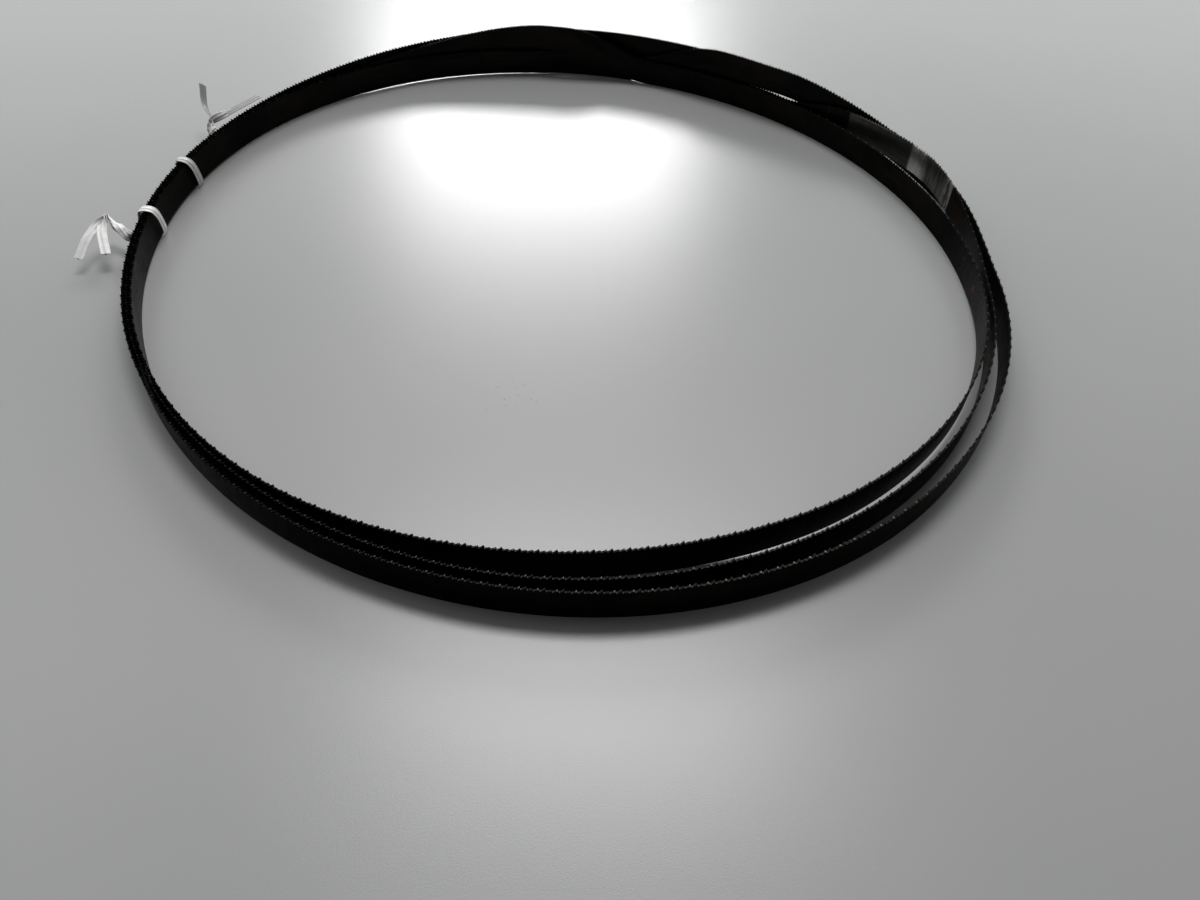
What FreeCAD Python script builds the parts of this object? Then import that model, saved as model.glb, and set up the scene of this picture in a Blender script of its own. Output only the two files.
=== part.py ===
# A bandsaw blade coiled in three turns and held by two twist ties, in millimetres.
# The blade is one endless toothed band. It lies on its smooth back edge with every tooth
# pointing up. Origin: under the middle of the object's box, on the floor. +Z up, +X to the
# right, +Y to the back.
import FreeCAD
import Part
import math
import os

V = FreeCAD.Vector

# Sizes, written to the document's sheet under these names. Angles are in degrees round the
# coil, 0 at +X and 90 at +Y. "reach" is the half width of a bulge, as an angle.
SIZES = dict(
    # the band
    blade_width=13.0,          # back edge to tooth tip
    blade_thickness=0.65,
    tooth_pitch=1.814,         # 14 teeth to 25.4
    tooth_height=0.8,
    tooth_set=0.25,            # sideways bend of a set tooth
    tip_forward=0.7,           # place of the tip along the pitch
    teeth_per_facet=12,
    # the coil: its inner turn is a slightly oval ring
    coil_radius=173.0,
    oval_depth=4.03,
    oval_angle=42.6,
    lobe_depth=1.25,
    lobe_angle=3.7,
    square_depth=0.55,
    square_angle=55.3,
    turn_gap=1.5,              # middle to middle of neighbouring turns where they lie together
    cross_clearance=0.3,
    # the outer turn bulges away at the front, and a little more on the right
    outer_front_depth=12.6,
    outer_front_angle=-66.0,
    outer_front_reach=80.0,
    outer_right_depth=3.5,
    outer_right_angle=-4.0,
    outer_right_reach=40.0,
    # the middle turn bulges at the front and the right front
    middle_front_depth=8.2,
    middle_front_angle=-78.0,
    middle_front_reach=56.0,
    middle_right_depth=3.3,
    middle_right_angle=-30.0,
    middle_right_reach=45.0,
    # the strand that comes round as the outer turn swings out behind the right side
    first_back_depth=12.5,
    first_back_angle=24.0,
    first_back_reach=31.0,
    # the strand that comes round as the middle turn swings out with it and hops up
    third_back_depth=11.0,
    third_back_angle=20.0,
    third_back_reach=31.0,
    hop_lift=6.0,
    hop_rise_start=1.0,
    hop_rise_end=24.0,
    hop_fall_start=32.0,
    hop_fall_end=51.0,
    # further back that strand is outermost and rides high
    high_back_depth=2.0,
    high_back_angle=100.0,
    high_back_reach=40.0,
    high_lift=9.8,
    high_rise_start=57.0,
    high_rise_end=71.0,
    high_fall_start=78.0,
    high_fall_end=160.0,
    # first crossing: outer strand climbs over the middle one and comes inside it
    over_rise_start=10.0,
    over_rise_end=51.0,
    over_swap_start=50.0,
    over_swap_end=57.0,
    over_fall_start=57.0,
    over_fall_end=76.0,
    # second crossing: inner strand climbs over the one that comes inside it
    last_rise_start=60.0,
    last_rise_end=77.0,
    last_swap_start=77.0,
    last_swap_end=83.0,
    last_fall_start=83.0,
    last_fall_end=120.0,
    # the bundle stands off the floor a little at the back left and at the ties
    bundle_lift=1.5,
    bundle_lift_angle=128.0,
    bundle_lift_reach=45.0,
    tie_lift=0.8,
    tie_lift_angle=174.0,
    tie_lift_reach=40.0,
    # twist ties: flat straps
    strap_width=3.8,
    strap_thickness=0.4,
    strap_play=0.4,            # free space between strap and bundle
    strand_spread=0.6,         # half the distance between the two strands of a twist
    corner_cut=0.4,            # how far the strap rounds the bundle's corners
    upper_tie_angle=168.5,
    lower_tie_angle=182.0,
)

doc = FreeCAD.newDocument("bandsaw_blade")
sheet = doc.addObject("Spreadsheet::Sheet", "Sizes")
for row, (name, value) in enumerate(SIZES.items(), start=1):
    sheet.set("A%d" % row, name)
    sheet.set("B%d" % row, str(value))
    sheet.setAlias("B%d" % row, name)
doc.recompute()


def size(name):
    return float(sheet.get(name))


def between(low, high, value):
    """0 before low, 1 after high, a smooth rise between them."""
    t = min(1.0, max(0.0, (value - low) / (high - low)))
    return t * t * (3.0 - 2.0 * t)


def bulge(name, angle, amount="depth"):
    """A smooth hump round the named angle."""
    away = (angle - size(name + "_angle") + 180.0) % 360.0 - 180.0
    reach = size(name + "_reach")
    if abs(away) >= reach:
        return 0.0
    return size(name + "_" + amount) * 0.5 * (1.0 + math.cos(math.pi * away / reach))


def hump(name, angle):
    """A smooth rise, a level piece and a smooth fall."""
    return between(size(name + "_rise_start"), size(name + "_rise_end"), angle) * (
        1.0 - between(size(name + "_fall_start"), size(name + "_fall_end"), angle))


def ring(angle):
    """Radius of the inner turn."""
    a = math.radians(angle)
    return (size("coil_radius")
            - size("oval_depth") * math.cos(2.0 * (a - math.radians(size("oval_angle"))))
            + size("lobe_depth") * math.cos(3.0 * (a + math.radians(size("lobe_angle"))))
            + size("square_depth") * math.cos(4.0 * (a - math.radians(size("square_angle")))))


def middle_bulge(angle):
    return bulge("middle_front", angle) + bulge("middle_right", angle)


def outer_bulge(angle):
    return bulge("outer_front", angle) + bulge("outer_right", angle)


def strand(turn, angle):
    """Distance outside the ring and height of the back edge, for turn 0, 1 or 2.

    The angle runs from -90 (front) once round to 270. Turn 0 starts outermost and ends
    innermost, turn 1 goes from innermost to the middle, turn 2 from the middle to outermost.
    """
    gap = size("turn_gap")
    cross = size("blade_width") + size("cross_clearance")
    first_swap = between(size("over_swap_start"), size("over_swap_end"), angle)
    second_swap = between(size("last_swap_start"), size("last_swap_end"), angle)
    behind = angle > 90.0
    if turn == 0:
        out = gap * (2.0 - first_swap - second_swap) + bulge("first_back", angle)
        out += 0.0 if behind else outer_bulge(angle)
        lift = cross * hump("over", angle)
    elif turn == 1:
        out = gap * second_swap + (middle_bulge(angle) if behind else 0.0)
        lift = cross * hump("last", angle)
    else:
        out = gap * (1.0 + first_swap) + bulge("third_back", angle) + bulge("high_back", angle)
        out += outer_bulge(angle) if behind else middle_bulge(angle)
        lift = size("hop_lift") * hump("hop", angle) + size("high_lift") * hump("high", angle)
    lift += (1.0 - lift / cross) * bundle_height(angle)
    return out, lift


def bundle_height(angle):
    rest = 0.0
    for name in ("bundle_lift", "tie_lift"):
        away = (angle - size(name + "_angle") + 180.0) % 360.0 - 180.0
        reach = size(name + "_reach")
        if abs(away) < reach:
            rest += size(name) * 0.5 * (1.0 + math.cos(math.pi * away / reach))
    return rest


def on_path(total):
    """Point on the middle of the band's back edge, for an angle from 0 to 1080."""
    turn, within = divmod(total % 1080.0, 360.0)
    angle = within - 90.0
    out, lift = strand(int(turn), angle)
    a = math.radians(angle)
    radius = ring(angle) + out
    return V(radius * math.cos(a), radius * math.sin(a), lift)


# The band's path in equal steps: a fine walk round all three turns, then even stations.
FINE = 4320
walk = [on_path(1080.0 * i / FINE) for i in range(FINE + 1)]
reached = [0.0]
for i in range(FINE):
    reached.append(reached[-1] + (walk[i + 1] - walk[i]).Length)
length = reached[-1]
teeth_per_facet = int(size("teeth_per_facet"))
facets = int(round(length / (teeth_per_facet * size("tooth_pitch"))))

stations = []
place = 0
for k in range(facets):
    target = length * k / facets
    while reached[place + 1] < target:
        place += 1
    share = (target - reached[place]) / (reached[place + 1] - reached[place])
    stations.append(walk[place] + (walk[place + 1] - walk[place]) * share)

# Corners of the flat band at each station: (back edge, root line) on the inner and outer side.
half = size("blade_thickness") / 2.0
corners = []
for k in range(facets):
    before = stations[k] - stations[k - 1]
    after = stations[(k + 1) % facets] - stations[k]
    along_b = V(before.x, before.y, 0).normalize()
    along_a = V(after.x, after.y, 0).normalize()
    outward = V(along_b.y + along_a.y, -along_b.x - along_a.x, 0).normalize()
    mitre = half / math.sqrt((1.0 + along_b.dot(along_a)) / 2.0)
    slope = (before.z + after.z) / (before.Length + after.Length)
    stretch = 1.0 / math.sqrt(1.0 - min(slope * slope, 0.5))
    up = V(0, 0, (size("blade_width") - size("tooth_height")) * stretch)
    tip = size("tooth_height") * stretch
    inner, outer = stations[k] - outward * mitre, stations[k] + outward * mitre
    corners.append((inner, outer, inner + up, outer + up, tip))


def face(*points):
    return Part.Face(Part.makePolygon(list(points) + [points[0]]))


# Faces of the band: two flat sides and a back edge for each facet, four for each tooth.
set_way = (-1, 1, 0)           # one tooth inwards, one outwards, one straight
faces = []
for k in range(facets):
    inner_a, outer_a, root_in_a, root_out_a, tip_a = corners[k]
    inner_b, outer_b, root_in_b, root_out_b, tip_b = corners[(k + 1) % facets]
    steps = [i / teeth_per_facet for i in range(teeth_per_facet + 1)]
    root_in = [root_in_a + (root_in_b - root_in_a) * s for s in steps]
    root_out = [root_out_a + (root_out_b - root_out_a) * s for s in steps]
    faces.append(face(inner_b, inner_a, *root_in))
    faces.append(face(outer_a, outer_b, *reversed(root_out)))
    faces.append(face(inner_a, inner_b, outer_b))
    faces.append(face(inner_a, outer_b, outer_a))
    for i in range(teeth_per_facet):
        share = size("tip_forward")
        low = root_in[i] + (root_in[i + 1] - root_in[i]) * share
        far = root_out[i] + (root_out[i + 1] - root_out[i]) * share
        outward = (far - low).normalize()
        way = set_way[(k * teeth_per_facet + i) % 3]
        apex = (low + far) * 0.5 + outward * (way * (half + size("tooth_set")))
        apex += V(0, 0, tip_a + (tip_b - tip_a) * steps[i])
        faces.append(face(root_in[i], root_out[i], apex))
        faces.append(face(root_out[i + 1], root_in[i + 1], apex))
        faces.append(face(root_in[i + 1], root_in[i], apex))
        faces.append(face(root_out[i], root_out[i + 1], apex))


def closed_solid(parts):
    group = Part.makeCompound(parts)
    group.sewShape(1e-5)
    solid = Part.Solid(group.Shells[0])
    if solid.Volume < 0:
        solid.reverse()
    return solid


blade = doc.addObject("Part::Feature", "Blade")
blade.Label = "blade"
blade.Shape = closed_solid(faces)
print("length %.1f, facets %d, teeth %d" % (length, facets, facets * teeth_per_facet))


# A twist tie is one flat strap: tail, twist, loop round the bundle, twist, tail. Its places are
# given from a point on the ring: s along the ring, d outwards, z up.
UPPER = dict(
    angle="upper_tie_angle",
    twist=((-29.0, 6.6, 11.5), (-36.0, 10.4, 13.0)),
    lean=-4.0,                 # way the outer side of the loop leans
    over=(-15.0, 5.4, 12.4),
    tails=(((-46.0, 19.5, 16.0), (-54.0, 25.0, 23.0)), ((-68.0, 2.6, 12.0),)),
)
LOWER = dict(
    angle="lower_tie_angle",
    twist=((9.5, 8.5, 9.0), (3.4, 18.2, 11.0)),
    lean=2.5,
    over=(6.5, 5.6, 11.4),
    tails=(((11.5, 21.0, 11.5), (26.0, 23.0, 6.0)), ((12.0, 16.8, 10.5), (23.5, 12.0, 7.0))),
)


def strap_solid(points, wide_ways):
    """A flat strap along the points. wide_ways point across its width, None means level."""
    rows = []
    last = len(points) - 1
    across = None
    for i, (point, wide) in enumerate(zip(points, wide_ways)):
        along = (points[min(i + 1, last)] - points[max(i - 1, 0)]).normalize()
        before = across
        wide = wide or along.cross(V(0, 0, 1))
        across = (wide - along * wide.dot(along)).normalize()
        if before and across.dot(before) < 0:
            across = across * -1.0
        thick = along.cross(across)
        a = across * (size("strap_width") / 2.0)
        b = thick * (size("strap_thickness") / 2.0)
        rows.append((point + a + b, point - a + b, point - a - b, point + a - b))
    sides = [face(rows[0][3], rows[0][2], rows[0][1], rows[0][0]), face(*rows[last])]
    for low, high in zip(rows, rows[1:]):
        for j in range(4):
            n = (j + 1) % 4
            sides.append(face(low[j], low[n], high[n]))
            sides.append(face(low[j], high[n], high[j]))
    return closed_solid(sides)


def twist_tie(plan):
    angle = size(plan["angle"])
    a = math.radians(angle)
    radial, along, up = V(math.cos(a), math.sin(a), 0), V(-math.sin(a), math.cos(a), 0), V(0, 0, 1)

    def at(s, d, z):
        return radial * (ring(angle) + d) + along * s + up * z

    reach = (size("blade_thickness") / 2.0 + size("tooth_set") + size("strap_play")
             + size("strap_thickness") / 2.0)
    inner, outer = -reach, 2.0 * size("turn_gap") + reach
    low = size("strap_thickness") / 2.0
    top = (bundle_height(angle) + size("blade_width") + size("strap_play")
           + size("strap_thickness") / 2.0)
    cut = size("corner_cut")
    start, end = at(*plan["twist"][0]), at(*plan["twist"][1])
    axis = (end - start).normalize()
    first = (radial - axis * radial.dot(axis))
    if first.Length < 0.7:
        first = along - axis * along.dot(axis)
    first.normalize()
    second = axis.cross(first)
    points, wides = [], []

    def strand(way, turns):
        for q in turns:
            t = math.pi * q / 2.0
            off = first * math.cos(t) + second * math.sin(t)
            points.append(start + (end - start) * (q / 2.0) + off * (way * size("strand_spread")))
            wides.append(first * -math.sin(t) + second * math.cos(t))

    tail_a, tail_b = plan["tails"]
    for place in reversed(tail_a):
        points.append(at(*place))
        wides.append(axis.cross(up) * -1.0)
    strand(1.0, (2, 1, 0))
    lean = plan["lean"]
    stand = size("strap_width") / 2.0
    points.append(at(*plan["over"]))
    wides.append(up)
    points.append(at(lean, outer + size("strap_play"), top - stand))
    wides.append(up + along * (0.4 if lean > 0 else -0.4))
    for d, z in ((outer - cut, top), (inner + cut, top), (inner, top - cut),
                 (inner, low + cut), (inner + cut, low), (outer - cut, low)):
        points.append(at(0, d, z))
        wides.append(None if d > 0 else along)
    points.append(at(lean, outer + size("strap_play"), low + stand))
    wides.append(up)
    strand(-1.0, (0, 1, 2))
    for place in tail_b:
        points.append(at(*place))
        wides.append(axis.cross(up))
    return strap_solid(points, wides)


ties = []
for label, plan in (("tie_upper", UPPER), ("tie_lower", LOWER)):
    tie = doc.addObject("Part::Feature", label.title().replace("_", ""))
    tie.Label = label
    tie.Shape = twist_tie(plan)
    ties.append(tie)


# Everything moves so that the origin is under the middle of the whole object.
items = (blade, *ties)
box = Part.makeCompound([item.Shape for item in items]).BoundBox
for item in items:
    item.Placement = FreeCAD.Placement(V(-box.Center.x, -box.Center.y, 0), FreeCAD.Rotation())
print("moved by %.3f %.3f" % (-box.Center.x, -box.Center.y))

doc.recompute()
os.makedirs("parts", exist_ok=True)
for item in items:
    if "Invalid" in item.State or "Error" in item.State:
        raise ValueError("bad object: " + item.Label)
    shape = item.Shape
    if shape.isNull() or not shape.isValid() or not shape.isClosed():
        raise ValueError("bad shape: " + item.Label)
    shape.exportStep("parts/%s.step" % item.Label)
    print(item.Label, shape.ShapeType, len(shape.Faces), shape.BoundBox, round(shape.Volume, 1))
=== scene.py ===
"""Looks of a coiled bandsaw blade held by two twist ties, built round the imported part."""
import math

import bpy
from mathutils import Matrix, Vector


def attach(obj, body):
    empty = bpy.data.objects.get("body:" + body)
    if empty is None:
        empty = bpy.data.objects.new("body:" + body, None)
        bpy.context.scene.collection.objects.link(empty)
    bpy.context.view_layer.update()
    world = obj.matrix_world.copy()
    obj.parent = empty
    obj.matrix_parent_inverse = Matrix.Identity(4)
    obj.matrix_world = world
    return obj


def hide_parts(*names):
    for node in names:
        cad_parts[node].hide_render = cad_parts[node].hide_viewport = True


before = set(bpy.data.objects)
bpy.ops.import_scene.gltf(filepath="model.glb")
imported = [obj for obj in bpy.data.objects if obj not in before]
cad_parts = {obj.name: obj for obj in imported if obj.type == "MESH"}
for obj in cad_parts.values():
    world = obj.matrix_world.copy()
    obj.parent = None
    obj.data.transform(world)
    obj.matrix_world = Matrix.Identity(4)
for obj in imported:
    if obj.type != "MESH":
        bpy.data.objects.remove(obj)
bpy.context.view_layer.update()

MM = 0.001
UP = Vector((0, 0, 1))
MOVE = Vector((5.688, 3.888, 0.0))     # from the middle of the ring to the part's origin
INSET = 0.3                            # the smooth band keeps this far inside the part's flats
TURN = 360.0
LOOP = 3.0 * TURN                      # the closed band goes round three times
FRONT = -90.0                          # each turn is counted from the front of the coil

# The band and its path, in millimetres and degrees. A bulge is its depth, its middle and its reach
# to either side. A climb is where it starts, where it is up, where it starts down and where it ends.
S = dict(
    blade_width=13.0,                  # back edge to tooth tip
    blade_thickness=0.65,
    tooth_height=0.8,
    tooth_set=0.25,                    # sideways bend of a set tooth
    teeth=1848,
    coil_radius=173.0,                 # the innermost turn lies on a ring a little out of round
    oval_depth=4.03,
    oval_angle=42.6,
    lobe_depth=1.25,
    lobe_angle=3.7,
    square_depth=0.55,
    square_angle=55.3,
    turn_gap=1.5,                      # middle to middle of neighbouring turns that lie together
    cross_clearance=0.3,               # free height where one turn passes over another
    outer_front=(12.6, -66.0, 80.0),   # bulges of the outer lane and of the middle lane
    outer_right=(3.2, -4.0, 40.0),
    middle_front=(8.2, -78.0, 56.0),
    middle_right=(3.3, -30.0, 45.0),
    first_back=(12.5, 22.0, 29.0),     # bulges of turn 0 and of turn 2 towards the back
    third_back=(11.0, 20.0, 31.0),
    high_back=(2.0, 100.0, 40.0),
    front_lift=2.5,                    # turn 1 stands off the table at the right front
    front_climb=(-74.0, -54.0, -22.0, 2.0),
    front_lean=0.945,                  # and shifts to the front there by this share of its rise
    hop_lift=6.0,                      # turn 2 climbs in two steps
    hop=(1.0, 24.0, 37.0, 50.0),
    high_lift=11.2,
    high=(56.5, 68.0, 80.0, 163.0),
    over=(18.0, 50.5, 63.0, 81.0),     # turn 0 climbs and changes lane over turn 2
    over_swap=(47.5, 56.0),
    last=(77.0, 93.5, 96.0, 134.0),    # turn 1 climbs and changes lane over turn 0
    last_swap=(92.5, 98.5),
    bundle_lift=(0.4, 128.0, 45.0),    # the whole bundle rests a little off the table here
    tie_lift=(0.8, 174.0, 40.0),
    strap_width=3.8,
    strap_thickness=0.36,
    strap_play=0.4,                    # free space between strap and bundle
    strand_spread=0.75,                # half the distance between the two strands of a twist
    corner_cut=0.4,                    # how far the strap rounds the bundle's lower corners
    upper_tie_angle=168.5,
    lower_tie_angle=182.0,
)


# The path of the band
def between(low, high, value):
    """0 below low, 1 above high, and a soft rise in between."""
    t = min(1.0, max(0.0, (value - low) / (high - low)))
    return t * t * (3.0 - 2.0 * t)


def bulge(name, angle):
    depth, middle, reach = S[name]
    away = (angle - middle + 180.0) % TURN - 180.0
    if abs(away) >= reach:
        return 0.0
    return depth * 0.5 * (1.0 + math.cos(math.pi * away / reach))


def hump(name, angle):
    """Share of a climb's full height at an angle."""
    start, up, down, end = S[name]
    return between(start, up, angle) * (1.0 - between(down, end, angle))


def ring(angle):
    """Radius of the innermost turn: a circle with an oval, a three-lobed and a square share."""
    a = math.radians(angle)
    return (S["coil_radius"] - S["oval_depth"] * math.cos(2 * (a - math.radians(S["oval_angle"])))
            + S["lobe_depth"] * math.cos(3 * (a + math.radians(S["lobe_angle"])))
            + S["square_depth"] * math.cos(4 * (a - math.radians(S["square_angle"]))))


def bundle_height(angle):
    return bulge("bundle_lift", angle) + bulge("tie_lift", angle)


def strand(turn, angle):
    """Distance outside the ring and height of the back edge, for turn 0, 1 or 2.

    The angle runs from FRONT once round. Turn 0 starts outermost and ends innermost, turn 1 goes
    from innermost to the middle, turn 2 from the middle to outermost.
    """
    gap = S["turn_gap"]
    cross = S["blade_width"] + S["cross_clearance"]
    first_swap, second_swap = between(*S["over_swap"], angle), between(*S["last_swap"], angle)
    behind = angle > 90.0
    middle = bulge("middle_front", angle) + bulge("middle_right", angle)
    outer = bulge("outer_front", angle) + bulge("outer_right", angle)
    if turn == 0:
        out = gap * (2.0 - first_swap - second_swap) + bulge("first_back", angle)
        out += 0.0 if behind else outer
        lift = cross * hump("over", angle)
    elif turn == 1:
        rise = S["front_lift"] * hump("front_climb", angle)
        out = gap * second_swap + (middle if behind else 0.0)
        out -= S["front_lean"] * rise * math.sin(math.radians(angle))
        lift = cross * hump("last", angle) + rise
    else:
        out = gap * (1.0 + first_swap) + bulge("third_back", angle) + bulge("high_back", angle)
        out += outer if behind else middle
        lift = S["hop_lift"] * hump("hop", angle) + S["high_lift"] * hump("high", angle)
    lift += (1.0 - lift / cross) * bundle_height(angle)
    return out, lift


def on_path(total):
    """Point of the back edge at an angle from 0 to LOOP, counted from the front of turn 0."""
    turn, within = divmod(total % LOOP, TURN)
    angle = within + FRONT
    out, lift = strand(int(turn), angle)
    a = math.radians(angle)
    radius = ring(angle) + out - INSET
    return Vector((radius * math.cos(a), radius * math.sin(a), lift))


# The band: every tooth a chisel with a curved gullet, set in, out and straight in turn
WELD_AT = 828.95             # place of the weld on the path, from 0 to LOOP
FINE = 8640                  # steps of the walk along the path
BACK = ((0.0, 0.13), (0.05, 0.04), (0.16, 0.0))      # height, and how far the corner is rounded
BEND = 0.25                  # a set tooth bends from this far below its gullet
BEND_POWER = 1.4             # and bends most at its tip
TOOTH = ((0.00, 0.03), (0.12, 0.12), (0.30, 0.38), (0.50, 0.73), (0.65, 0.97), (0.715, 1.0),
         (0.735, 0.60), (0.755, 0.27), (0.81, 0.06), (0.89, 0.0))    # along the pitch, height
TIP = 5                      # the tooth's point that is its tip
TIP_FROM = TIP - 2           # the tip's ground edge starts at this point
SET_WAY = (-1, 1, 0)
STRAIGHT = 2                 # the place in SET_WAY of the straight tooth, whose ground tip is made brighter, a painted glint
# the straight teeth's tip faces get the painted glint, the other tooth faces a little ground
# brightness
TIP_GLINT, EDGE_GROUND = 1.0, 0.1
BAND_CREASE = 32.0           # a sharper corner than this, in degrees, is drawn sharp
RUST = ((1, -7.4, 6.0, 1.7, 0.9), (1, -1.0, 8.5, 1.0, 0.5))    # turn, angle, height, size, strength


def walk_band():
    """One station a tooth along the closed band, and the length reached at each fine step."""
    walk = [on_path(WELD_AT + LOOP * i / FINE) for i in range(FINE + 1)]
    reached = [0.0]
    for a, b in zip(walk, walk[1:]):
        reached.append(reached[-1] + (b - a).length)
    stations, place = [], 0
    for k in range(S["teeth"]):
        target = reached[-1] * k / S["teeth"]
        while reached[place + 1] < target:
            place += 1
        share = (target - reached[place]) / (reached[place + 1] - reached[place])
        stations.append(walk[place].lerp(walk[place + 1], share))
    return stations, reached


def on_hoop(length, turned, height):
    """Place on the band laid out as one big hoop, in metres, for its surface pattern."""
    hoop = length / (2.0 * math.pi)
    return hoop * math.cos(turned) * MM, hoop * math.sin(turned) * MM, height * MM


def band_points(stations, length):
    """The band's points, their places on the hoop, their side, and the rows of each tooth."""
    teeth = len(stations)
    columns = []
    for k in range(teeth):
        ahead = stations[(k + 1) % teeth] - stations[k - 1]
        flat = Vector((ahead.x, ahead.y, 0.0))
        slope = ahead.z / flat.length
        out = Vector((flat.y, -flat.x, 0.0)).normalized()
        columns.append((stations[k], out, math.sqrt(1.0 + slope * slope)))

    half = S["blade_thickness"] / 2.0
    root = S["blade_width"] - S["tooth_height"]
    points, band, across = [], [], []

    def vertex(base, out, stretch, side, height, share, shift=0.0, width=half):
        offset = out * (side * width + shift)
        points.append((base + offset + Vector((0, 0, height * stretch)) + MOVE) * MM)
        band.append(on_hoop(length, 2.0 * math.pi * share / teeth, height))
        across.append(float(side))
        return len(points) - 1

    rows = []
    for k in range(teeth):
        base, out, stretch = columns[k]
        following, out_next, stretch_next = columns[(k + 1) % teeth]
        bend = SET_WAY[k % len(SET_WAY)] * S["tooth_set"]
        row = {}
        for side in (-1, 1):
            low = [vertex(base, out, stretch, side, height, k, width=half - cut)
                   for height, cut in BACK]
            low.append(vertex(base, out, stretch, side, root - BEND, k))
            line = []
            for share, rise in TOOTH:
                here = base.lerp(following, share)
                outward = out.lerp(out_next, share)
                tall = stretch + (stretch_next - stretch) * share
                line.append(vertex(here, outward, tall, side, root + rise * S["tooth_height"],
                                   k + share, bend * rise ** BEND_POWER))
            row[side] = (low, line)
        rows.append(row)
    return points, band, across, rows


def band_faces(rows):
    """Faces between neighbouring teeth, and how bright each is ground; the straight teeth's tips
    carry a painted glint.
    """
    faces, ground_and_glint = [], []

    def add(face, side=1, bright=0.0):
        faces.append(face if side > 0 else face[::-1])
        ground_and_glint.append(bright)

    for k, row in enumerate(rows):
        following = rows[(k + 1) % len(rows)]
        lines = {}
        for side in (-1, 1):
            (a, line), (b, line_next) = row[side], following[side]
            lines[side] = line = line + line_next[:1]
            for i in range(len(BACK)):
                add((a[i], b[i], b[i + 1], a[i + 1]), side)
            for i in range(len(TOOTH)):
                pivot = a[-1] if i < TIP else b[-1]
                add((pivot, line[i + 1], line[i]), side)
            add((a[-1], b[-1], line[TIP]), side)
        inner, outer = lines[-1], lines[1]
        straight = k % len(SET_WAY) == STRAIGHT
        for i in range(len(TOOTH)):
            bright = TIP_GLINT if straight and TIP_FROM <= i <= TIP else EDGE_GROUND
            add((inner[i], outer[i], outer[i + 1], inner[i + 1]), bright=bright)
        add((row[-1][0][0], following[-1][0][0], following[1][0][0], row[1][0][0]))
    return faces, ground_and_glint


def band_object():
    """The band, and its rust marks as (centre, reach, strength) on the hoop."""
    stations, reached = walk_band()
    length = reached[-1]
    points, band, across, rows = band_points(stations, length)
    faces, ground_and_glint = band_faces(rows)
    mesh = bpy.data.meshes.new("band")
    mesh.from_pydata(points, [], faces)
    mesh.attributes.new("band", "FLOAT_VECTOR", "POINT").data.foreach_set(
        "vector", [v for place in band for v in place])
    mesh.attributes.new("across", "FLOAT", "POINT").data.foreach_set("value", across)
    mesh.attributes.new("ground_and_glint", "FLOAT", "FACE").data.foreach_set("value", ground_and_glint)
    mesh.shade_smooth()
    mesh.set_sharp_from_angle(angle=math.radians(BAND_CREASE))
    mesh.validate()
    piece = bpy.data.objects.new("band", mesh)
    bpy.context.scene.collection.objects.link(piece)

    marks = []
    for turn, angle, height, reach, strength in RUST:
        step = int((TURN * turn + angle - FRONT - WELD_AT) % LOOP / LOOP * FINE)
        centre = on_hoop(length, 2.0 * math.pi * reached[step] / length, height)
        marks.append((centre, reach * MM, strength))
    return piece, marks


# Twist ties: a flat plastic strap with a wire along its middle
# Places are (along the coil, out from the ring, up), in millimetres from the ring at the tie's angle.
# The ways across the two tails are directions (out, along, up).
UPPER = dict(
    angle="upper_tie_angle",
    twist=((-29.5, 6.0, 9.5), (-36.5, 9.4, 12.7)),       # where it starts and ends
    lean=-4.0,                                           # how far along the loop's ends lie
    over=(-16.0, 5.6, 5.6),                              # between the loop and the twist
    across=((0.52, 0.25, 0.82), (1.0, 0.0, 0.1)),
    tails=(((-47.0, 18.2, 15.4), (-55.5, 22.6, 21.0)),
           ((-52.0, 6.0, 12.6), (-69.0, 2.6, 12.0))),
)
LOWER = dict(
    angle="lower_tie_angle",
    twist=((12.0, 6.2, 7.8), (3.6, 17.8, 11.0)),
    lean=2.5,
    over=(7.0, 5.6, 5.8),
    across=((1.0, 0.2, 0.1), (0.9, 0.45, 0.2)),
    tails=(((14.5, 21.0, 10.0), (26.0, 22.4, 6.0)),
           ((12.0, 16.8, 10.5), (23.5, 12.0, 7.0))),
)
TOP_AT, FOOT_AT = 1.8, -2.6      # the slack loop leans: its top and its foot along the coil
LEAVES = 2.2                     # where a strap leaves the loop, its edge is this far below the top
TILT = 0.4                       # and it is tilted along the coil by this share
HALF_TWIST = (0.0, 0.5, 1.0, 1.5, 2.0)       # quarters of a turn at the points of a twist
# a twist that points more outwards than this sine allows counts its turns from the coil's way
OFF_RADIUS = 0.7
STEPS = 10                       # steps of the curve between two places
TINY = 1e-6
STRAP_CREASE = 50.0
RIDGE_WIDTH, RIDGE_HEIGHT = 0.42, 0.2        # the strap's ridge over its wire
WIRE_RADIUS, WIRE_PROUD, WIRE_SIDES = 0.27, 0.3, 10
PLASTIC, METAL = 0, 1            # a tie's two materials


def slack_loop(inner, outer, top, low):
    """Places from the outer top over the bundle, down its inner side and back under it."""
    cut = S["corner_cut"]
    return ((TOP_AT, outer + 0.1, top - 0.5),
            (TOP_AT, outer - 1.3, top + 0.5),
            (TOP_AT - 0.6, inner + 1.0, top + 0.1),
            (TOP_AT - 1.7, inner - 0.5, top - 2.4),
            (FOOT_AT + 1.2, inner - 0.8, top * 0.42),
            (FOOT_AT, inner - 0.1, low + 1.0),
            (FOOT_AT, inner + cut, low),
            (FOOT_AT * 0.5, outer - cut, low))


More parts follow.
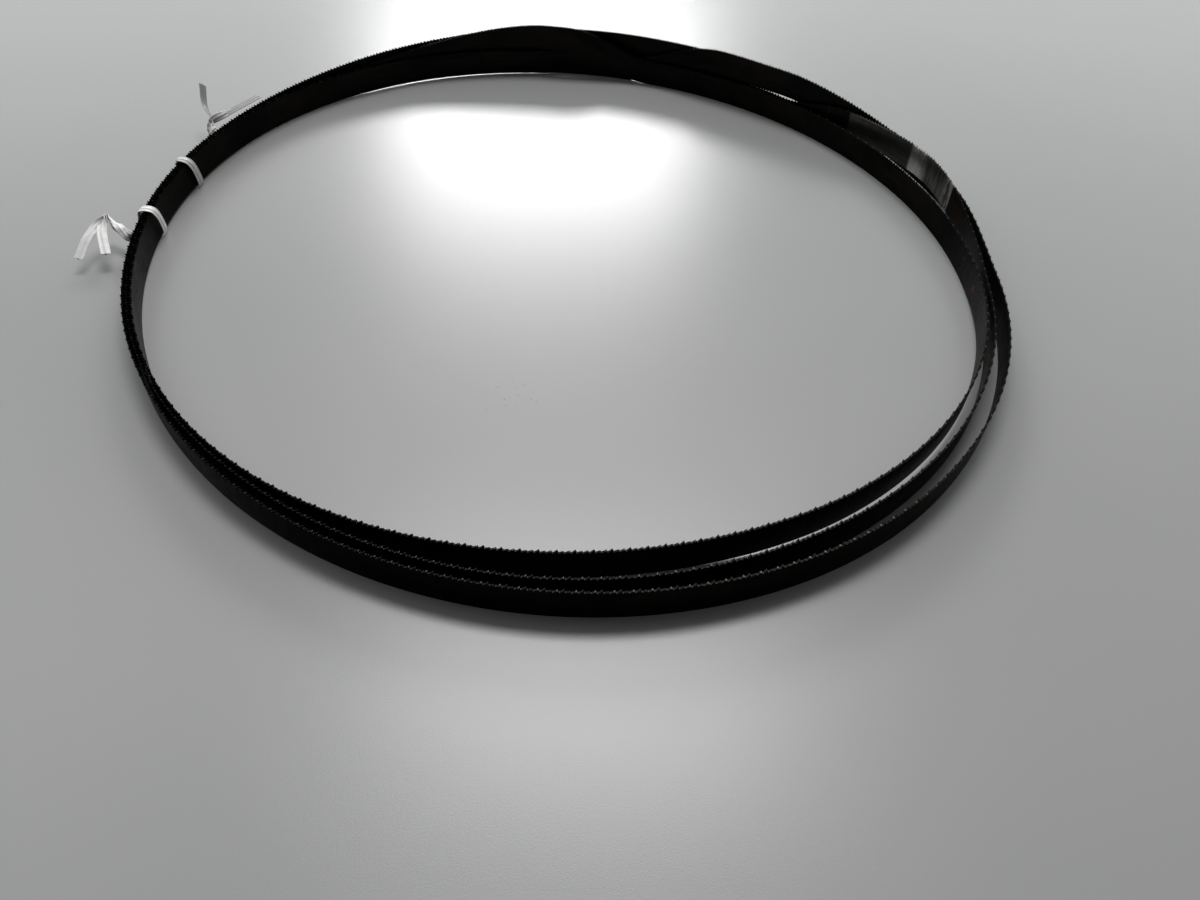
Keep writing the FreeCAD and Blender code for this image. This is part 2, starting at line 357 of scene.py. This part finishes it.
def strap_line(plan):
    """Points along a tie and the way across its width at each of them."""
    angle = S[plan["angle"]]
    a = math.radians(angle)
    radial, along = Vector((math.cos(a), math.sin(a), 0)), Vector((-math.sin(a), math.cos(a), 0))

    def at(s, d, z):
        return radial * (ring(angle) + d) + along * s + UP * z

    reach = (S["blade_thickness"] / 2 + S["tooth_set"] + S["strap_play"]
             + S["strap_thickness"] / 2)
    inner, outer = -reach - INSET, 2.0 * S["turn_gap"] + reach - INSET
    low = S["strap_thickness"] / 2
    top = bundle_height(angle) + S["blade_width"] + S["strap_play"] + S["strap_thickness"] / 2
    start, end = [at(*place) for place in plan["twist"]]
    axis = (end - start).normalized()
    first = radial - axis * radial.dot(axis)
    if first.length < OFF_RADIUS:
        first = along - axis * along.dot(axis)
    first.normalize()
    second = axis.cross(first)
    points, wides = [], []

    def add(place, wide):
        points.append(at(*place))
        wides.append(wide)

    def add_twisted(way, quarters):
        for q in quarters:
            t = math.pi * q / 2.0
            off = first * math.cos(t) + second * math.sin(t)
            points.append(start + (end - start) * (q / 2.0) + off * (way * S["strand_spread"]))
            wides.append(first * -math.sin(t) + second * math.cos(t))

    tail_a, tail_b = plan["tails"]
    flat_a, flat_b = [radial * r + along * s + UP * z for r, s, z in plan["across"]]
    lean = plan["lean"]
    stand = S["strap_width"] / 2
    side = outer + S["strap_play"]
    for place in reversed(tail_a):
        add(place, flat_a)
    add_twisted(1.0, reversed(HALF_TWIST))
    add(plan["over"], UP)
    add((lean, side, top - stand - LEAVES), UP + along * math.copysign(TILT, lean))
    for place in slack_loop(inner, outer, top, low):
        add(place, along)
    add((lean, side, low + stand), UP)
    add_twisted(-1.0, HALF_TWIST)
    for place in tail_b:
        add(place, flat_b)
    return points, wides


def smooth_line(points):
    """A curve through the points, with chord-length spacing at its knots."""
    ends = [points[0] * 2 - points[1]] + list(points) + [points[-1] * 2 - points[-2]]
    line = []
    for i in range(1, len(ends) - 2):
        p0, p1, p2, p3 = ends[i - 1:i + 3]
        k1 = max((p1 - p0).length, TINY) ** 0.5
        k2 = k1 + max((p2 - p1).length, TINY) ** 0.5
        k3 = k2 + max((p3 - p2).length, TINY) ** 0.5
        for j in range(STEPS):
            t = k1 + (k2 - k1) * j / STEPS
            a1 = p0 * ((k1 - t) / k1) + p1 * (t / k1)
            a2 = p1 * ((k2 - t) / (k2 - k1)) + p2 * ((t - k1) / (k2 - k1))
            a3 = p2 * ((k3 - t) / (k3 - k2)) + p3 * ((t - k2) / (k3 - k2))
            b1 = a1 * ((k2 - t) / k2) + a2 * (t / k2)
            b2 = a2 * ((k3 - t) / (k3 - k1)) + a3 * ((t - k1) / (k3 - k1))
            line.append(b1 * ((k2 - t) / (k2 - k1)) + b2 * ((t - k1) / (k2 - k1)))
    line.append(ends[-2].copy())
    return line


def strap_section():
    """Outline across a strap: (across, thick) with rounded edges and a ridge on each face."""
    w, t = S["strap_width"] / 2, S["strap_thickness"] / 2
    r, tall, foot = RIDGE_WIDTH, RIDGE_HEIGHT, t * 0.6
    top = [(w - 0.02, t * 0.45), (w - 0.12, t * 0.9), (w - 0.35, t * 0.8), (w * 0.5, t * 0.55),
           (r * 1.5, foot), (r, foot + tall * 0.35), (r * 0.6, foot + tall * 0.8),
           (0.0, foot + tall)]
    half = top + [(-x, y) for x, y in reversed(top[:-1])]
    return half + [(x, -y) for x, y in reversed(half)]


def square_to(heading, wide):
    return (wide - heading * wide.dot(heading)).normalized()


def heading_at(points, n):
    return (points[min(n + 1, len(points) - 1)] - points[max(n - 1, 0)]).normalized()


def strap_ways(points, wides):
    """The ways across at the places, square to the strap and never turned over between two."""
    turned = []
    for i, wide in enumerate(wides):
        wide = square_to(heading_at(points, i), wide)
        if turned and wide.dot(turned[-1]) < 0:
            wide = -wide
        turned.append(wide)
    return turned


def sweep_strap(points, wides):
    """The section swept along a strap: its points, their rows, their places on the strap as
    (from the nearer end, across, thick), and the headings out of its two ends.
    """
    line, turned = smooth_line(points), strap_ways(points, wides)
    rows, verts, run = [], [], []
    distance = 0.0
    for n, point in enumerate(line):
        i = min(n // STEPS, len(points) - 2)
        share = (n - STEPS * i) / STEPS
        heading = heading_at(line, n)
        wide = square_to(heading, turned[i].lerp(turned[i + 1], share * share * (3 - 2 * share)))
        thick = heading.cross(wide)
        if n:
            distance += (point - line[n - 1]).length
        row = []
        for x, y in strap_section():
            spot = point + wide * x + thick * y + MOVE
            spot.z = max(spot.z, 0.0)
            row.append(len(verts))
            verts.append(spot * MM)
            run.append((distance * MM, x * MM, y * MM))
        rows.append(row)
    run = [(min(place[0], distance * MM - place[0]), place[1], place[2]) for place in run]
    ends = (line[0] - line[1]).normalized(), (line[-1] - line[-2]).normalized()
    return verts, rows, run, ends


def wire_points(cut, heading):
    """Points round the wire at a strap's cut, each followed by the one just proud of it."""
    middle = sum(cut, Vector()) / len(cut)
    wide = (cut[0] - cut[len(cut) // 2]).normalized()
    thick = heading.cross(wide)
    points = []
    for j in range(WIRE_SIDES):
        t = 2 * math.pi * j / WIRE_SIDES
        off = (wide * math.cos(t) + thick * math.sin(t)) * (WIRE_RADIUS * MM)
        points += [middle + off, middle + off + heading * (WIRE_PROUD * MM)]
    return points


def tie_object(name, plan):
    """A tie: the strap, its cut ends, and at each end the wire just proud of the plastic."""
    verts, rows, run, ends = sweep_strap(*strap_line(plan))
    faces, mats = [], []

    def add(face, material):
        faces.append(tuple(face))
        mats.append(material)

    for low, high in zip(rows, rows[1:]):
        for j in range(len(low)):
            n = (j + 1) % len(low)
            add((low[j], high[j], high[n], low[n]), PLASTIC)
    for row, heading, flip in ((rows[0], ends[0], False), (rows[-1], ends[1], True)):
        count = len(verts)
        verts += wire_points([verts[v] for v in row], heading)
        run += [(0.0, 0.0, 0.0)] * (len(verts) - count)
        wire, cap = range(count, len(verts), 2), range(count + 1, len(verts), 2)
        add(row[::-1] if flip else row, PLASTIC)
        for j in range(WIRE_SIDES):
            n = (j + 1) % WIRE_SIDES
            add((wire[j], wire[n], cap[n], cap[j]), METAL)
        add(cap, METAL)
        add(reversed(wire), METAL)
    mesh = bpy.data.meshes.new(name)
    mesh.from_pydata(verts, [], faces)
    mesh.attributes.new("run", "FLOAT_VECTOR", "POINT").data.foreach_set(
        "vector", [v for place in run for v in place])
    mesh.polygons.foreach_set("material_index", mats)
    mesh.shade_smooth()
    mesh.set_sharp_from_angle(angle=math.radians(STRAP_CREASE))
    piece = bpy.data.objects.new(name, mesh)
    bpy.context.scene.collection.objects.link(piece)
    return piece


# Materials
class Tree:
    """A short way to write a material's nodes."""

    def __init__(self, name):
        self.material = bpy.data.materials.new(name)
        self.material.use_nodes = True
        self.nodes, self.links = self.material.node_tree.nodes, self.material.node_tree.links
        self.shader = self.nodes["Principled BSDF"]

    def put(self, socket, value):
        if isinstance(value, bpy.types.NodeSocket):
            self.links.new(value, socket)
        elif isinstance(value, tuple) and len(value) == 3 and socket.type == "RGBA":
            socket.default_value = (*value, 1.0)
        else:
            socket.default_value = value

    def node(self, kind, out=0, settings=(), **inputs):
        node = self.nodes.new(kind)
        for key, value in dict(settings).items():
            setattr(node, key, value)
        for key, value in inputs.items():
            self.put(node.inputs[key.replace("_", " ")], value)
        return node.outputs[out]

    def math(self, what, a, b=0.0, c=0.0):
        node = self.nodes.new("ShaderNodeMath")
        node.operation = what
        for socket, value in zip(node.inputs, (a, b, c)):
            self.put(socket, value)
        return node.outputs[0]

    def attribute(self, name, out):
        node = self.nodes.new("ShaderNodeAttribute")
        node.attribute_name = name
        return node.outputs[out]

    def vector_attribute(self, name):
        return self.attribute(name, 1)

    def value_attribute(self, name):
        return self.attribute(name, 2)

    def object_place(self):
        return self.node("ShaderNodeTexCoord", out=3)

    def split(self, vector):
        return list(self.node("ShaderNodeSeparateXYZ", Vector=vector).node.outputs)

    def stretched(self, vector, scale):
        return self.node("ShaderNodeMapping", Vector=vector, Scale=scale)

    def noise(self, vector, scale, detail=2.0, rough=0.5):
        return self.node("ShaderNodeTexNoise", Vector=vector, Scale=scale, Detail=detail,
                         Roughness=rough)

    def step(self, value, low, high, to_low=0.0, to_high=1.0):
        return self.node("ShaderNodeMapRange", settings={"interpolation_type": "SMOOTHSTEP"},
                         Value=value, From_Min=low, From_Max=high, To_Min=to_low, To_Max=to_high)

    def blend(self, share, a, b):
        node = self.nodes.new("ShaderNodeMix")
        node.data_type = "RGBA"
        for place, value in zip((0, 6, 7), (share, a, b)):
            self.put(node.inputs[place], value)
        return node.outputs[2]

    def distance(self, vector, centre):
        away = self.node("ShaderNodeVectorMath", out=1, settings={"operation": "DISTANCE"})
        self.links.new(vector, away.node.inputs[0])
        away.node.inputs[1].default_value = centre
        return away

    def bump(self, height, distance, strength=1.0):
        return self.node("ShaderNodeBump", Height=height, Distance=distance, Strength=strength)


# Colours of the band, from its dark scale to the bright weld
SCALE_DARK, SCALE_LIGHT = (0.006, 0.006, 0.006), (0.015, 0.0135, 0.0115)
STREAK, SPECK, RUSTY = (0.020, 0.0185, 0.0165), (0.045, 0.036, 0.027), (0.16, 0.055, 0.020)
SATIN_DARK, SATIN_LIGHT = (0.085, 0.081, 0.074), (0.135, 0.131, 0.119)
STRAW, PURPLE = (0.026, 0.016, 0.010), (0.024, 0.015, 0.024)
GROUND_DARK, GROUND_LIGHT, WORN = (0.07, 0.068, 0.063), (0.20, 0.195, 0.185), (0.06, 0.058, 0.055)
FRESH, SCRAPED = (0.88, 0.87, 0.84), (0.60, 0.58, 0.54)
EDGE_DARK, EDGE_LIGHT = (0.06, 0.058, 0.055), (0.16, 0.155, 0.145)
GRAZING = (0.52, 0.52, 0.52, 1.0)     # how strongly the band reflects at a low angle
# Zones along the band, in metres from the weld's middle: from, to, and how soft their ends are
PATCH_ZONE = (-0.0178, 0.0178, 0.0008)
SATIN_ZONE = (0.0178, 0.0570, 0.0004)
STRAW_ZONE = (-0.0330, -0.0178, 0.0030)
PURPLE_ZONE = (-0.0240, -0.0178, 0.0025)
FRESH_ZONE = (0.0075, 0.0190, 0.0035)
SCRAPED_ZONE = (-0.0178, -0.0110, 0.0015)
SIDES_APART = 0.05           # moves the pattern of one face away from the other's


def band_material(rust_marks):
    t = Tree("blackened_steel")
    band, across = t.vector_attribute("band"), t.value_attribute("across")
    ground_and_glint = t.value_attribute("ground_and_glint")
    place_x, run, height = t.split(band)
    shifted = t.node("ShaderNodeCombineXYZ", X=place_x, Y=run,
                     Z=t.math("MULTIPLY_ADD", across, SIDES_APART, height))
    grain = t.noise(t.stretched(shifted, (0.03, 0.03, 1.0)), scale=5200.0, detail=3.0, rough=0.6)
    streaks = t.noise(t.stretched(shifted, (0.05, 0.05, 1.0)), scale=650.0, detail=4.0, rough=0.6)
    blotches = t.noise(t.stretched(shifted, (0.5, 0.5, 1.0)), scale=55.0, detail=5.0, rough=0.6)
    specks = t.noise(shifted, scale=900.0, detail=3.0, rough=0.7)
    dark = t.blend(t.step(blotches, 0.35, 0.68), SCALE_DARK, SCALE_LIGHT)
    dark = t.blend(t.step(streaks, 0.48, 0.75, to_high=0.5), dark, STREAK)
    dark = t.blend(t.step(specks, 0.68, 0.76, to_high=0.4), dark, SPECK)
    # rust on the inner face
    ragged = t.noise(shifted, scale=900.0, detail=3.0, rough=0.65)
    inner = t.math("LESS_THAN", across, 0.0)
    for centre, reach, strength in rust_marks:
        away = t.distance(band, centre)
        mark = t.step(t.math("MULTIPLY_ADD", ragged, reach, away), reach, reach * 1.6,
                      to_low=strength, to_high=0.0)
        dark = t.blend(t.math("MULTIPLY", mark, inner), dark, RUSTY)
    # the weld: a ground patch, a satin zone after it and a heat tint before it
    near = t.math("GREATER_THAN", place_x, 0.0)

    def zone(start, end, soft):
        mask = t.math("MULTIPLY", t.step(run, start - soft, start + soft),
                      t.step(run, end - soft, end + soft, to_low=1.0, to_high=0.0))
        return t.math("MULTIPLY", mask, near)

    strokes = t.noise(t.stretched(shifted, (1.0, 1.0, 0.16)), scale=420.0, detail=4.0, rough=0.65)
    worn = t.noise(shifted, scale=90.0, detail=3.0)
    patch = zone(*PATCH_ZONE)
    satin = zone(*SATIN_ZONE)
    straw = zone(*STRAW_ZONE)
    purple = zone(*PURPLE_ZONE)
    brushed = t.blend(t.step(streaks, 0.3, 0.7), SATIN_DARK, SATIN_LIGHT)
    colour = t.blend(satin, dark, brushed)
    colour = t.blend(t.math("MULTIPLY", straw, 0.8), colour, STRAW)
    colour = t.blend(t.math("MULTIPLY", purple, 0.8), colour, PURPLE)
    bright = t.blend(t.step(strokes, 0.35, 0.65), GROUND_DARK, GROUND_LIGHT)
    bright = t.blend(t.step(worn, 0.45, 0.62, to_high=0.5), bright, WORN)
    fresh = t.math("MULTIPLY", zone(*FRESH_ZONE), t.step(strokes, 0.25, 0.6, to_low=0.55))
    bright = t.blend(fresh, bright, FRESH)
    scraped = t.math("MULTIPLY", zone(*SCRAPED_ZONE), t.step(strokes, 0.42, 0.58))
    bright = t.blend(scraped, bright, SCRAPED)
    colour = t.blend(patch, colour, bright)
    # milled tooth edges are a little brighter, and the straight teeth's tips much brighter as a
    # painted glint
    edge = t.blend(t.step(specks, 0.4, 0.6), EDGE_DARK, EDGE_LIGHT)
    colour = t.blend(t.math("MULTIPLY", ground_and_glint, 0.85), colour, edge)
    t.put(t.shader.inputs["Base Color"], colour)
    t.shader.inputs["Metallic"].default_value = 1.0
    t.shader.inputs["Specular Tint"].default_value = GRAZING
    rough = t.step(grain, 0.3, 0.7, to_low=0.30, to_high=0.46)
    rough = t.math("ADD", rough, t.step(blotches, 0.35, 0.7, to_high=0.10))
    rough = t.math("SUBTRACT", rough, t.math("MULTIPLY", patch, 0.06))
    t.put(t.shader.inputs["Roughness"], rough)
    relief = t.math("ADD", t.math("MULTIPLY", grain, 0.5), t.math("MULTIPLY", strokes, patch))
    t.put(t.shader.inputs["Normal"], t.bump(relief, distance=0.00002, strength=0.6))
    return t.material


# Colours of a strap: plain, plain and lighter, soiled, over the wire, and the painted shade on its
# tails
STRAP_TONES = (0.80, 0.80, 0.78), (0.90, 0.90, 0.89), (0.56, 0.55, 0.51), (0.60, 0.61, 0.62)
END_SHADE = (0.11, 0.11, 0.105)
END_SHADE_TO = (0.020, 0.034)      # in metres from the nearer end
RIDGE_SPAN = (0.00015, 0.00045)  # in metres from the strap's middle
GLOW = (0.001, 0.001, 0.0009)    # how far red, green and blue light run inside the plastic


def strap_material(name, tone_and_shade, end_shade):
    """A strap's plastic: its tones scaled, lower for the upper tie as painted shade, and its ends
    darkened by painted shade.
    """
    t = Tree(name)
    run = t.vector_attribute("run")
    from_end, from_middle, _ = t.split(run)
    soft = t.noise(run, scale=300.0, detail=3.0, rough=0.6)
    lines = t.noise(t.stretched(run, (0.04, 1.0, 1.0)), scale=3000.0)
    dirt = t.noise(run, scale=120.0, detail=4.0, rough=0.65)
    # the tones are scaled; the upper tie's smaller scale is painted shade on the same plastic as the
    # lower tie
    plain, lighter, soiled, core = [tuple(tone_and_shade * v for v in tone) for tone in STRAP_TONES]
    colour = t.blend(t.step(soft, 0.35, 0.65), plain, lighter)
    colour = t.blend(t.step(dirt, 0.56, 0.74, to_high=0.55), colour, soiled)
    ridge = t.step(t.math("ABSOLUTE", from_middle), *RIDGE_SPAN, to_low=0.40, to_high=0.0)
    colour = t.blend(ridge, colour, core)
    # painted shade: the tails and the start of the twist are darkened, standing in for their shadow
    ends = t.step(from_end, *END_SHADE_TO, to_low=end_shade, to_high=0.0)
    colour = t.blend(ends, colour, END_SHADE)
    t.put(t.shader.inputs["Base Color"], colour)
    t.put(t.shader.inputs["Roughness"], t.step(lines, 0.3, 0.7, to_low=0.34, to_high=0.5))
    t.shader.inputs["Subsurface Weight"].default_value = 0.15
    t.shader.inputs["Subsurface Radius"].default_value = GLOW
    relief = t.math("MULTIPLY_ADD", lines, 0.4, soft)
    t.put(t.shader.inputs["Normal"], t.bump(relief, distance=0.00006, strength=0.7))
    return t.material


WIRE_DARK, WIRE_LIGHT = (0.10, 0.095, 0.09), (0.25, 0.24, 0.23)


def wire_material():
    t = Tree("cut_wire")
    spots = t.noise(t.object_place(), scale=2500.0)
    t.put(t.shader.inputs["Base Color"], t.blend(t.step(spots, 0.4, 0.6), WIRE_DARK, WIRE_LIGHT))
    t.shader.inputs["Metallic"].default_value = 1.0
    t.put(t.shader.inputs["Roughness"], t.step(spots, 0.4, 0.6, to_low=0.35, to_high=0.55))
    t.put(t.shader.inputs["Normal"], t.bump(spots, distance=0.00003, strength=0.5))
    return t.material


TABLE_DARK, TABLE_LIGHT = (0.285, 0.290, 0.287), (0.315, 0.316, 0.312)
DIRT, DIRT_AT = (0.12, 0.11, 0.10), (-0.004, -0.090, 0.0)      # a few specks inside the coil
DIRT_REACH = (0.005, 0.016)


def table_material():
    t = Tree("satin_table")
    place = t.object_place()
    wide = t.noise(place, scale=3.0, detail=3.0)
    fine = t.noise(place, scale=2400.0, rough=0.6)
    specks = t.noise(place, scale=520.0, rough=0.6)
    colour = t.blend(t.step(wide, 0.2, 0.8), TABLE_DARK, TABLE_LIGHT)
    away = t.distance(place, DIRT_AT)
    dirt = t.math("MULTIPLY", t.step(specks, 0.66, 0.70),
                  t.step(away, *DIRT_REACH, to_low=0.8, to_high=0.0))
    colour = t.blend(dirt, colour, DIRT)
    t.put(t.shader.inputs["Base Color"], colour)
    t.put(t.shader.inputs["Roughness"], t.step(wide, 0.2, 0.8, to_low=0.27, to_high=0.31))
    t.put(t.shader.inputs["Normal"], t.bump(fine, distance=0.00005, strength=0.5))
    return t.material


# Pieces
# each tie's plan, how light its plastic is (lower for the upper tie, painted shade on the same
# plastic) and how dark painted shade makes its ends
TIES = (("tie_upper", UPPER, 0.66, 0.85), ("tie_lower", LOWER, 0.88, 0.0))

blade, rust_marks = band_object()
blade.data.materials.append(band_material(rust_marks))
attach(blade, "root")
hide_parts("blade")

wire = wire_material()
for name, plan, tone_and_shade, end_shade in TIES:
    which = name.removeprefix("tie_")
    tie = tie_object("strap_" + which, plan)
    tie.data.materials.append(strap_material("plastic_" + which, tone_and_shade, end_shade))
    tie.data.materials.append(wire)
    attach(tie, "root")
    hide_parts(name)

# Table, lamps, room and camera, in metres and degrees
TABLE_HALF = 4
TABLE_BELOW = 0.00003            # keeps the table clear of the band's lower edge
# azimuth and elevation, distance, width, height, watts
LAMPS = dict(
    lamp_back=(95, 26, 2.0, 0.75, 0.40, 17),
    lamp_top=(89, 67, 1.8, 0.90, 0.45, 17),
    lamp_front=(-70, 60, 2.2, 1.6, 1.6, 1.2),
    lamp_left=(165, 45, 2.0, 1.2, 1.2, 5),
)
ROOM_COLOUR = (0.80, 0.81, 0.82, 1.0)
# The room is lighter towards the back, most of all low down: axis, from, to, value before, after
ROOM_RAMPS = (
    ("Z", 0.30, 0.62, 1.0, 0.0),
    ("Y", 0.15, 0.75, 0.0, 1.0),
    ("Y", -0.20, 0.55, 0.07, 0.72),
)
ROOM_GLOW = 0.98
PITCH, ROLL = 46.6, 3.0
CAMERA_AT = Vector((22.836, -331.295, 225.246))      # in millimetres from the middle of the ring
SENSOR, LENS = 36.0, 27.0                            # in millimetres
NEAREST = 0.01


def table_object():
    low, high = -TABLE_HALF, TABLE_HALF
    corners = [(low, low, 0), (high, low, 0), (high, high, 0), (low, high, 0)]
    mesh = bpy.data.meshes.new("table")
    mesh.from_pydata(corners, [], [(0, 1, 2, 3)])
    table = bpy.data.objects.new("table", mesh)
    table.location.z = -TABLE_BELOW
    bpy.context.scene.collection.objects.link(table)
    mesh.materials.append(table_material())
    return table


def lamp(name, azimuth, elevation, distance, width, height, watts):
    a, e = math.radians(azimuth), math.radians(elevation)
    data = bpy.data.lights.new(name, "AREA")
    data.shape, data.size, data.size_y, data.energy = "RECTANGLE", width, height, watts
    item = bpy.data.objects.new(name, data)
    item.location = Vector((math.cos(a) * math.cos(e), math.sin(a) * math.cos(e),
                            math.sin(e))) * distance
    item.rotation_euler = item.location.to_track_quat("Z", "Y").to_euler()
    bpy.context.scene.collection.objects.link(item)


def room():
    world = bpy.data.worlds.new("room")
    world.use_nodes = True
    nodes, links = world.node_tree.nodes, world.node_tree.links
    background = nodes["Background"].inputs
    background["Color"].default_value = ROOM_COLOUR
    axes = nodes.new("ShaderNodeSeparateXYZ")
    links.new(nodes.new("ShaderNodeTexCoord").outputs["Generated"], axes.inputs[0])
    masks = []
    for axis, *values in ROOM_RAMPS:
        mask = nodes.new("ShaderNodeMapRange")
        mask.interpolation_type = "SMOOTHSTEP"
        for socket, value in zip(("From Min", "From Max", "To Min", "To Max"), values):
            mask.inputs[socket].default_value = value
        links.new(axes.outputs[axis], mask.inputs["Value"])
        masks.append(mask.outputs[0])
    low, back, base = masks
    glow = nodes.new("ShaderNodeMath")
    glow.operation = "MULTIPLY"
    links.new(low, glow.inputs[0])
    links.new(back, glow.inputs[1])
    level = nodes.new("ShaderNodeMath")
    level.operation = "MULTIPLY_ADD"
    links.new(glow.outputs[0], level.inputs[0])
    level.inputs[1].default_value = ROOM_GLOW
    links.new(base, level.inputs[2])
    links.new(level.outputs[0], background["Strength"])
    return world


def camera_object():
    pitch, roll = math.radians(PITCH), math.radians(ROLL)
    ahead = Vector((0, math.cos(pitch), -math.sin(pitch)))
    upward = Vector((0, math.sin(pitch), math.cos(pitch)))
    right = Vector((1, 0, 0))
    side = right * math.cos(roll) + upward * math.sin(roll)
    head = upward * math.cos(roll) - right * math.sin(roll)
    lens = bpy.data.cameras.new("camera")
    lens.sensor_width, lens.lens, lens.clip_start = SENSOR, LENS, NEAREST
    camera = bpy.data.objects.new("camera", lens)
    turned = Matrix((side, head, -ahead)).transposed().to_4x4()
    camera.matrix_world = Matrix.Translation((CAMERA_AT + MOVE) * MM) @ turned
    bpy.context.scene.collection.objects.link(camera)
    return camera


table = table_object()
for name, values in LAMPS.items():
    lamp(name, *values)
bpy.context.scene.world = room()
bpy.context.scene.camera = camera_object()
bpy.context.scene.view_settings.view_transform = "Standard"
